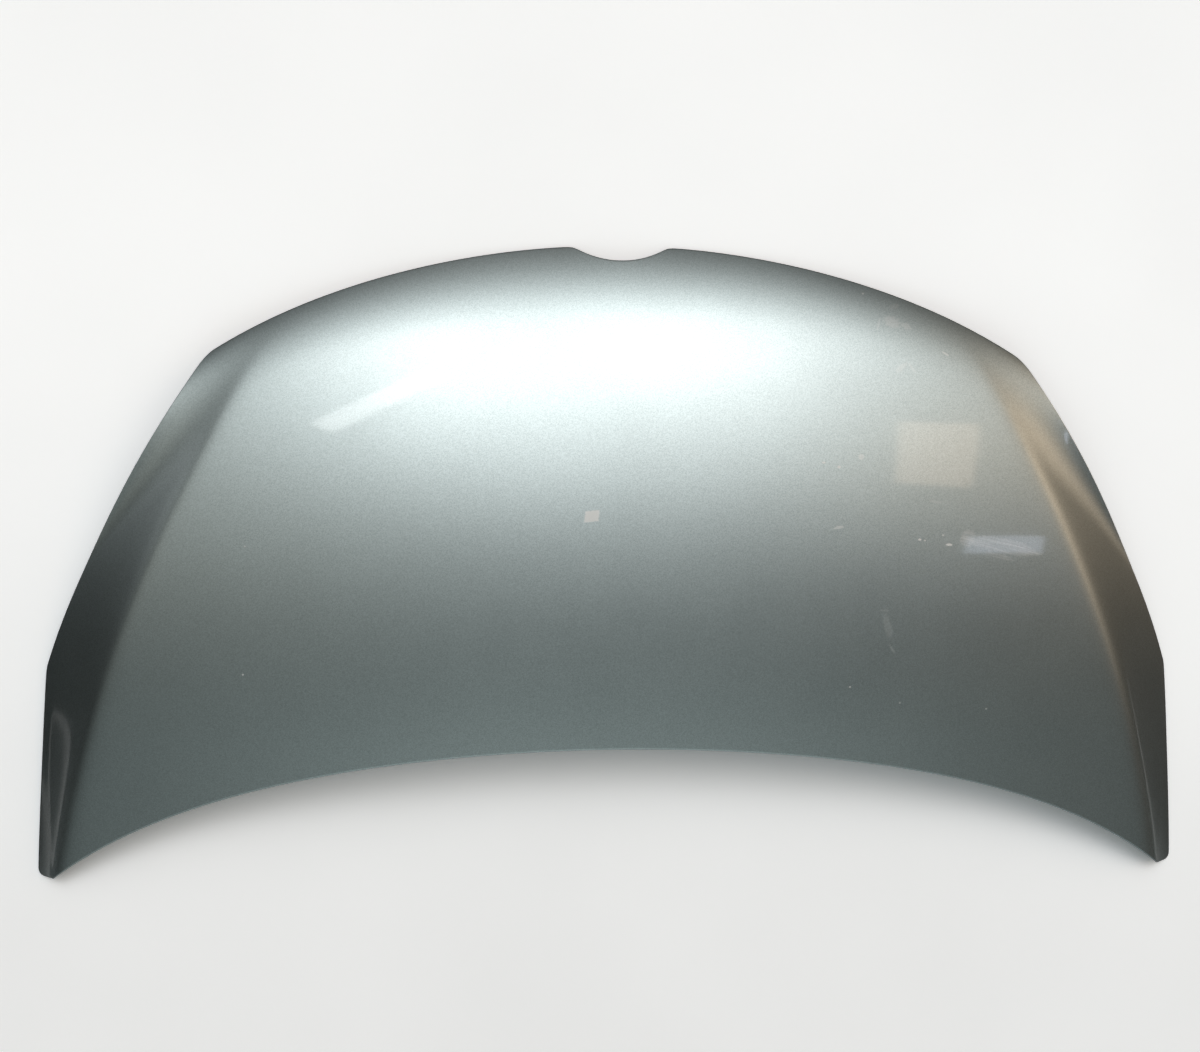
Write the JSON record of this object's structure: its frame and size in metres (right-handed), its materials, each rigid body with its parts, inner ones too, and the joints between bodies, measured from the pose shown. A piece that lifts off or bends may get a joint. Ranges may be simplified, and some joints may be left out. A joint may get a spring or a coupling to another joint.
{
  "type": "car bonnet",
  "caption": "Pressed steel car bonnet lying face up: creased outer skin with a badge notch, hemmed round a ribbed inner frame with hinge and latch reinforcements.",
  "frame": {"origin": "middle of the outline, on the plane that the bonnet rests on", "axes": "+X across the car, +Y towards the nose, +Z out of the painted face"},
  "size_m": [1.4, 0.7534, 0.1025],
  "materials": {
    "paint": "grey-green metallic paint under clear coat, light wear",
    "inner_paint": "thin body-colour paint over primer, satin",
    "zinc_steel": "zinc plated steel",
    "mastic": "cured black mastic",
    "socket_plastic": "black moulded plastic"
  },
  "bodies": {
    "root": {"outer_panel": "paint", "inner_panel": "inner_paint", "hinge_reinforcement_left": "zinc_steel", "hinge_reinforcement_right": "zinc_steel", "hinge_weld_nut_left_rear": "zinc_steel", "hinge_weld_nut_left_front": "zinc_steel", "hinge_weld_nut_right_rear": "zinc_steel", "hinge_weld_nut_right_front": "zinc_steel", "latch_reinforcement": "zinc_steel", "latch_weld_nut_left": "zinc_steel", "latch_weld_nut_right": "zinc_steel", "stay_rod_grommet": "socket_plastic", "mastic_bead_left_inner_rear_cross_rib": "mastic", "mastic_bead_left_inner_rear_channel": "mastic", "mastic_bead_left_inner_front_cross_rib": "mastic", "mastic_bead_left_inner_front_channel": "mastic", "mastic_bead_left_outer_rear_cross_rib": "mastic", "mastic_bead_left_outer_front_cross_rib": "mastic", "mastic_bead_right_inner_rear_cross_rib": "mastic", "mastic_bead_right_inner_rear_channel": "mastic", "mastic_bead_right_inner_front_cross_rib": "mastic", "mastic_bead_right_inner_front_channel": "mastic", "mastic_bead_right_outer_rear_cross_rib": "mastic", "mastic_bead_right_outer_front_cross_rib": "mastic"}
  },
  "joints": []
}
